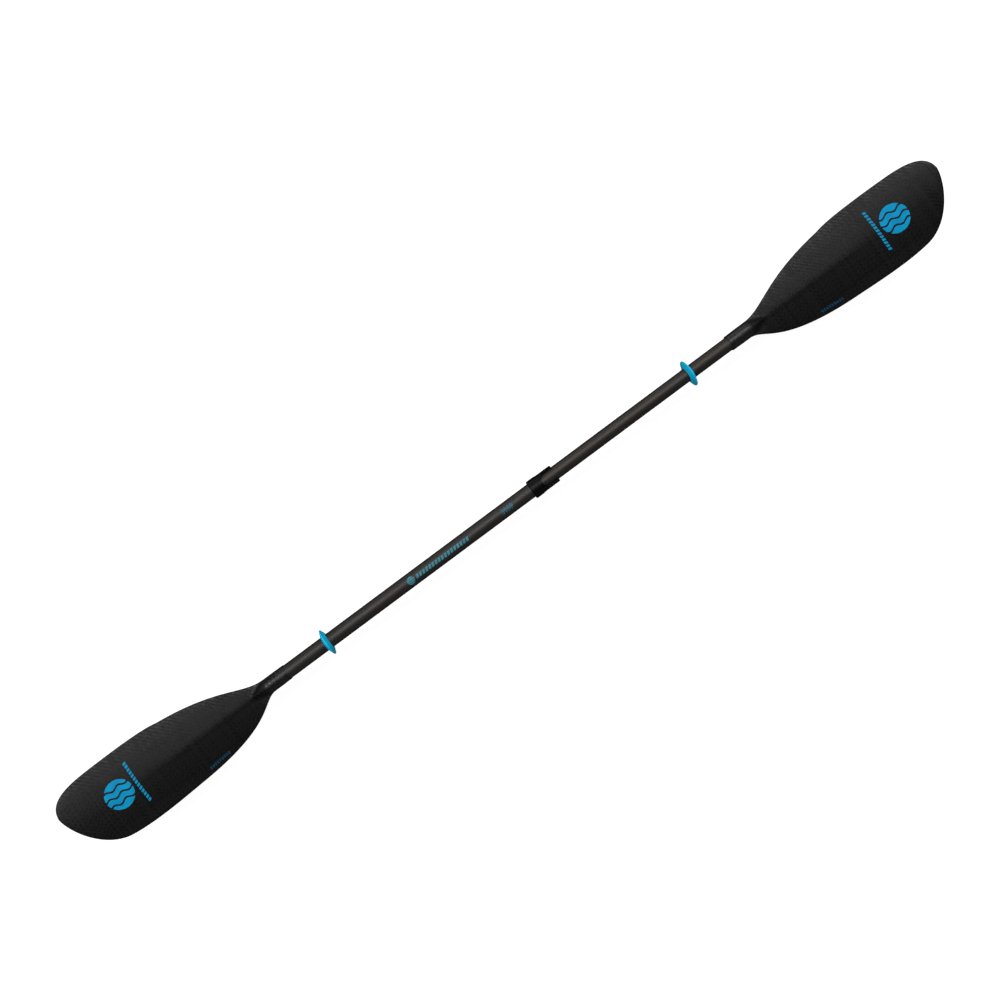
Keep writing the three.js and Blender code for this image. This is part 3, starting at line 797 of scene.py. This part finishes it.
def sleeve_mesh():
    step = COLLAR_R - COLLAR_NOSE_R
    taper = []
    for i in range(1, TAPER_STEPS):
        share = i / TAPER_STEPS
        radius = COLLAR_NOSE_R + step * (1 + math.cos(math.pi * share)) / 2
        taper.append((radius, COLLAR_TAPER_X + (COLLAR_STEP_X - COLLAR_TAPER_X) * share))
    return lathe_mesh("sleeve", [
        (COLLAR_BORE, COLLAR_X0),
        (COLLAR_R - COLLAR_CHAMFER, COLLAR_X0),
        (COLLAR_R, COLLAR_X0 + COLLAR_CHAMFER),
        (COLLAR_R, COLLAR_TAPER_X),
        *taper,
        (COLLAR_NOSE_R, COLLAR_STEP_X),
        (COLLAR_NOSE_R, COLLAR_X1 - COLLAR_NOSE_CHAMFER),
        (COLLAR_NOSE_R - COLLAR_NOSE_CHAMFER, COLLAR_X1),
        (COLLAR_NOSE_BORE, COLLAR_X1),
        (COLLAR_NOSE_BORE, OUTER_MOUTH_X + GAP),
        (COLLAR_BORE, OUTER_MOUTH_X + GAP),
    ])


def collar_piece():
    piece = loose("collar_shell", sleeve_mesh())
    for low_side, high_side in ((EAR_INNER_Y, EAR_OUTER_Y), (-EAR_OUTER_Y, -EAR_INNER_Y)):
        combine(piece, ear_mesh(low_side, high_side), "UNION")
    reach = EAR_ROOT_HALF_LENGTH + 2
    combine(piece, rod_mesh("bore", COLLAR_NOSE_BORE, PIVOT_X - reach, PIVOT_X + reach), "DIFFERENCE")
    combine(piece, window_mesh(), "DIFFERENCE")
    combine(piece, notch_mesh(), "DIFFERENCE")
    combine(piece, pin_hole_mesh(), "DIFFERENCE")
    screw_hole = rod_mesh("hole", SCREW_R + GAP, SCREW_HOLE_Z0, SCREW_HOLE_Z1, SMALL_SIDES)
    combine(piece, upright(screw_hole, SCREW_X, 0, 0), "DIFFERENCE")
    soften(piece, 0.35)
    dress(piece, NYLON, "left_half", "black_nylon", "clamp_collar")


def lever_outline():
    """The handle from its root to its rounded tip and back, in X and Z."""
    top, face, tip = LEVER_TOP_Z, LEVER_FACE_Z, LEVER_TIP_X
    upper = bezier((tip + 10, top), (tip + 5.3, top), (tip + 2, top - 1), (tip, top - 3), 8)
    lower = bezier((tip, top - 3), (tip + 0.7, face + 1.3), (tip + 2.7, face), (tip + 6, face), 8)
    return [
        (PIVOT_X - 9, top),
        *[tuple(p) for p in upper],
        *[tuple(p) for p in lower[1:]],
        (PIVOT_X - 11, face),
        (PIVOT_X - 9, face + 2),
    ]


def lever_piece():
    piece = loose("lever_shell", slab_mesh(
        "handle", lever_outline(), -LEVER_HALF_WIDTH, LEVER_HALF_WIDTH, "y"))
    arm = [(PIVOT_X, PIVOT_Z + 2), (PIVOT_X - 12, LEVER_TOP_Z - 0.5),
           (PIVOT_X - 12, LEVER_FACE_Z + 0.5), (PIVOT_X, PIVOT_Z - 3.9)]
    combine(piece, slab_mesh("arm", arm, -HUB_HALF_WIDTH, HUB_HALF_WIDTH, "y"), "UNION")
    hub = rod_mesh("hub", CAM_R, -HUB_HALF_WIDTH, HUB_HALF_WIDTH, 64)
    combine(piece, crosswise(hub, PIVOT_X, 0, PIVOT_Z + CAM_OFFSET), "UNION")
    combine(piece, pin_hole_mesh(), "DIFFERENCE")
    for groove in range(GRIP_GROOVES):
        x0 = LEVER_TIP_X + 7 + GRIP_PITCH * groove
        x1 = x0 + GRIP_WIDTH
        outline = [(x0, -GRIP_HALF_LENGTH), (x1, -GRIP_HALF_LENGTH),
                   (x1, GRIP_HALF_LENGTH), (x0, GRIP_HALF_LENGTH)]
        cutter = slab_mesh("groove", outline, GROOVE_Z0, LEVER_FACE_Z + GRIP_DEPTH, "z")
        combine(piece, cutter, "DIFFERENCE")
    soften(piece, 0.4)
    dress(piece, NYLON, "lever", "black_nylon", "cam_lever")


def pin_piece():
    half, end_r = PIN_HALF_LENGTH, PIN_R - PIN_CHAMFER
    profile = [(0, -half), (end_r, -half), (PIN_R, -half + PIN_CHAMFER),
               (PIN_R, half - PIN_CHAMFER), (end_r, half), (0, half)]
    mesh = crosswise(lathe_mesh("pin", profile, SMALL_SIDES), PIVOT_X, 0, PIVOT_Z)
    dress(loose("pin_shell", mesh), STEEL, "left_half", "steel", "lever_pin")


def screw_piece():
    """A socket screw: the floor of its socket, the socket's rim, the rounded head and the shank."""
    profile = [(0, -18.9), (1.0, -18.9), (1.0, -19.6), (1.6, -19.7), (SCREW_R, -19.4),
               (SCREW_R, -COLLAR_BORE), (0, -COLLAR_BORE)]
    mesh = upright(lathe_mesh("screw", profile, SMALL_SIDES), SCREW_X, 0, 0)
    dress(loose("screw_shell", mesh), STEEL, "left_half", "steel", "collar_screw")


collar_piece()
lever_piece()
pin_piece()
screw_piece()


# ---- drip rings ---------------------------------------------------------------------------------
RING_CREST_R = 29
RING_SIDES = 160
RING_FIT = 0.45             # clearance to the tube, so that a leaning ring doesn't cut it


def ring_piece(name, node, tube_radius, body, skew, lean):
    """A ring askew on the shaft: skew and lean are its turns about Z and Y in degrees."""
    start, end = (corner.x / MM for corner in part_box(node))
    x = (start + end) / 2
    bore = tube_radius + RING_FIT
    flank = bezier((bore + 1.3, 5.7), (bore + 5, 4.5), (24, 3.0), (RING_CREST_R - 0.8, 1.2), 18)
    # half of the section, as (radius, half width) pairs from the bore over the flank to the crest
    half = [
        (bore, 5.4),
        *arc(bore + 0.5, 5.5, 0.5, 180, 70, 6)[1:],
        *[tuple(p) for p in flank],
        *arc(RING_CREST_R - 1.1, 0, 1.1, 75, 0, 6)[1:],
    ]
    inboard = [(r, x - w) for r, w in half]
    outboard = [(r, x + w) for r, w in reversed(half[:-1])]
    mesh = lathe_mesh(name, inboard + outboard, RING_SIDES)
    centre = Matrix.Translation((x * MM, 0, 0))
    turn = Matrix.Rotation(math.radians(skew), 4, "Z") @ Matrix.Rotation(math.radians(lean), 4, "Y")
    mesh.transform(centre @ turn @ centre.inverted())
    dress(loose(name, mesh), RUBBER_CYAN, body, "cyan_rubber", node)


ring_piece("left_ring_skin", "left_drip_ring", OUTER_R, "left_ring", skew=-0.7, lean=5.5)
ring_piece("right_ring_skin", "right_drip_ring", INNER_R, "right_ring", skew=-2.0, lean=0.5)


# ---- printed marks: flat patches in mm, laid on a surface -----------------------------------------
INK_THICKNESS = 0.12
INK_ROOT = 0.3              # how far a mark reaches into the surface


def patch(lower, upper, rows):
    """The grid between two rows of 2-D points: its points, its columns and its rows."""
    share = np.arange(rows + 1)[:, None] / rows
    flat = np.concatenate([a + (b - a) * share for a, b in zip(lower, upper)])
    return flat, len(lower) - 1, rows


def print_marks(name, patches, surface, body, ink):
    """Makes one piece of thin closed sheets. surface(points, lift) turns 2-D points into 3-D ones."""
    points, faces = [], []
    for flat, columns, rows in patches:
        base, count = len(points), len(flat)
        points += list(surface(flat, -INK_ROOT)) + list(surface(flat, INK_THICKNESS))

        def at(i, j):
            return base + i * (rows + 1) + j

        for i in range(columns):
            for j in range(rows):
                quad = (at(i, j), at(i + 1, j), at(i + 1, j + 1), at(i, j + 1))
                faces += [quad, tuple(count + q for q in reversed(quad))]
        rim = [at(i, 0) for i in range(columns)] + [at(columns, j) for j in range(rows)]
        rim += [at(i, rows) for i in range(columns, 0, -1)] + [at(0, j) for j in range(rows, 0, -1)]
        faces += [(a, a + count, b + count, b) for a, b in zip(rim, rim[1:] + rim[:1])]
    piece = loose(name, new_mesh(name, np.array(points) * MM, faces))
    dress(piece, ink, body, "cyan_rubber")


BADGE_WAVES = 3
BADGE_GAP = 0.13            # this and the next three are shares of the disc's radius
WAVE_HEIGHT = 0.09
WAVE_LENGTH = 0.95
THINNEST_BAND = 0.02
BAND_TRIALS = 241           # places across the disc where a band's thickness is tried
BAND_POINTS = 57
DASH_POINTS = 5


def band_edges(x, below, above, radius):
    """The lower and upper edge at each x of the part of a disc between two wave lines."""
    chord = np.sqrt(np.maximum(0, radius ** 2 - x ** 2))
    wave = radius * WAVE_HEIGHT * np.sin(2 * np.pi * x / (radius * WAVE_LENGTH))
    half_gap = radius * BADGE_GAP / 2
    lower = -chord if below < -radius else np.maximum(-chord, below + wave + half_gap)
    upper = chord if above > radius else np.minimum(chord, above + wave - half_gap)
    return lower, upper


def wave_badge(centre, radius):
    """A disc cut into bands by even wave lines."""
    pitch = 2 * radius / (BADGE_WAVES + 1)
    levels = [-radius + pitch * (i + 1) for i in range(BADGE_WAVES)]
    levels = [-2 * radius, *levels, 2 * radius]
    bands = []
    for below, above in zip(levels, levels[1:]):
        x = np.linspace(-radius, radius, BAND_TRIALS)
        lower, upper = band_edges(x, below, above, radius)
        wide = x[upper - lower > THINNEST_BAND * radius]
        x = np.linspace(wide[0], wide[-1], BAND_POINTS)
        lower, upper = band_edges(x, below, above, radius)
        upper = np.maximum(upper, lower + 0.01)
        edges = [np.stack([x, edge], 1) + centre for edge in (lower, upper)]
        bands.append(patch(*edges, rows=3))
    return bands


def dash_row(centre, count, pitch, length, height, slant, turn=0.0):
    """Even slanted dashes in a row through centre, turned by an angle in degrees."""
    c, s = math.cos(math.radians(turn)), math.sin(math.radians(turn))
    turned = np.array([[c, s], [-s, c]])
    edge = np.full(DASH_POINTS, height / 2)
    dashes = []
    for i in range(count):
        start = (i - (count - 1) / 2) * pitch - length / 2
        x = np.linspace(start, start + length, DASH_POINTS)
        edges = [np.stack([x + side * slant / 2, side * edge], 1) @ turned + centre
                 for side in (-1, 1)]
        dashes.append(patch(*edges, rows=4))
    return dashes


def bar(centre, length, height):
    return dash_row(centre, count=1, pitch=0, length=length, height=height, slant=0)


def on_blade(blade, side):
    """The blade's front surface, found by looking down on its mesh. Points are (u, y)."""
    work = bmesh.new()
    work.from_mesh(blade.data)
    tree = BVHTree.FromBMesh(work)
    work.free()
    above_z = 60

    def surface(flat, lift):
        points = []
        for u, y in flat:
            above = Vector((side * (HALF_MM - u), y, above_z)) * MM
            hit = tree.ray_cast(above, Vector((0, 0, -1)))[0] / MM
            points.append((hit.x, hit.y, hit.z + lift))
        return points
    return surface


def on_shaft(radius):
    """The front of a tube. Points are (x, distance round the tube)."""
    def surface(flat, lift):
        turn = flat[:, 1] / radius
        r = radius + lift
        return np.stack([flat[:, 0], r * np.sin(turn), r * np.cos(turn)], 1)
    return surface


def blade_marks(blade, side, body, label):
    surface = on_blade(blade, side)
    badge = wave_badge((123, 3.4), radius=30.6)
    dashes = dash_row((164, 3.7), count=13, pitch=7.4, length=5, height=6.6, slant=-2.2, turn=90)
    ticks = dash_row((323, -63), count=9, pitch=6.1, length=3.8, height=5.5, slant=1.6, turn=4.5)
    print_marks(f"{label}_blade_badge", badge, surface, body, INK)
    print_marks(f"{label}_blade_dashes", dashes, surface, body, INK)
    print_marks(f"{label}_blade_ticks", ticks, surface, body, DIM_INK)


def feather_scale():
    """A ruled scale: a cross line, a centre line and ticks of two lengths on both sides of it."""
    marks = bar((-16, 0), 0.8, 17) + bar((-1.5, 0), 27, 0.9)
    for step in range(8):
        tick = 5.5 if step % 2 == 0 else 3.2
        for side in (-1, 1):
            marks += bar((-12.5 + 3.1 * step, side * (1.2 + tick / 2)), 0.9, tick)
    return marks


def shaft_marks():
    surface = on_shaft(OUTER_R)
    badge = wave_badge((-244, -1.2), radius=8.6)
    dashes = dash_row((-165.5, -1), count=17, pitch=7.8, length=5.2, height=8.4, slant=3)
    print_marks("shaft_badge", badge, surface, "left_half", SHAFT_INK)
    print_marks("shaft_dashes", dashes, surface, "left_half", SHAFT_INK)
    print_marks("feather_scale", feather_scale(), surface, "left_half", SCALE_INK)


blade_marks(left_blade, -1, "left_half", "left")
blade_marks(right_blade, 1, "right_half", "right")
shaft_marks()

# ---- pieces that keep their CAD shape ------------------------------------------------------------
KEPT = {
    "left_end_plug": FOAM, "right_end_plug": FOAM, "insertion_stop": FOAM,
    "wiper_seal": RUBBER_BLACK, "shoe_pad": RUBBER_BLACK,
    "mouth_bush": ACETAL, "pressure_shoe": ACETAL, "guide_bush": ACETAL,
    "inner_end_plug": NYLON, "bush_screw": STEEL, "bush_washer": STEEL,
}
for node, material in KEPT.items():
    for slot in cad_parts[node].material_slots:
        slot.material = material
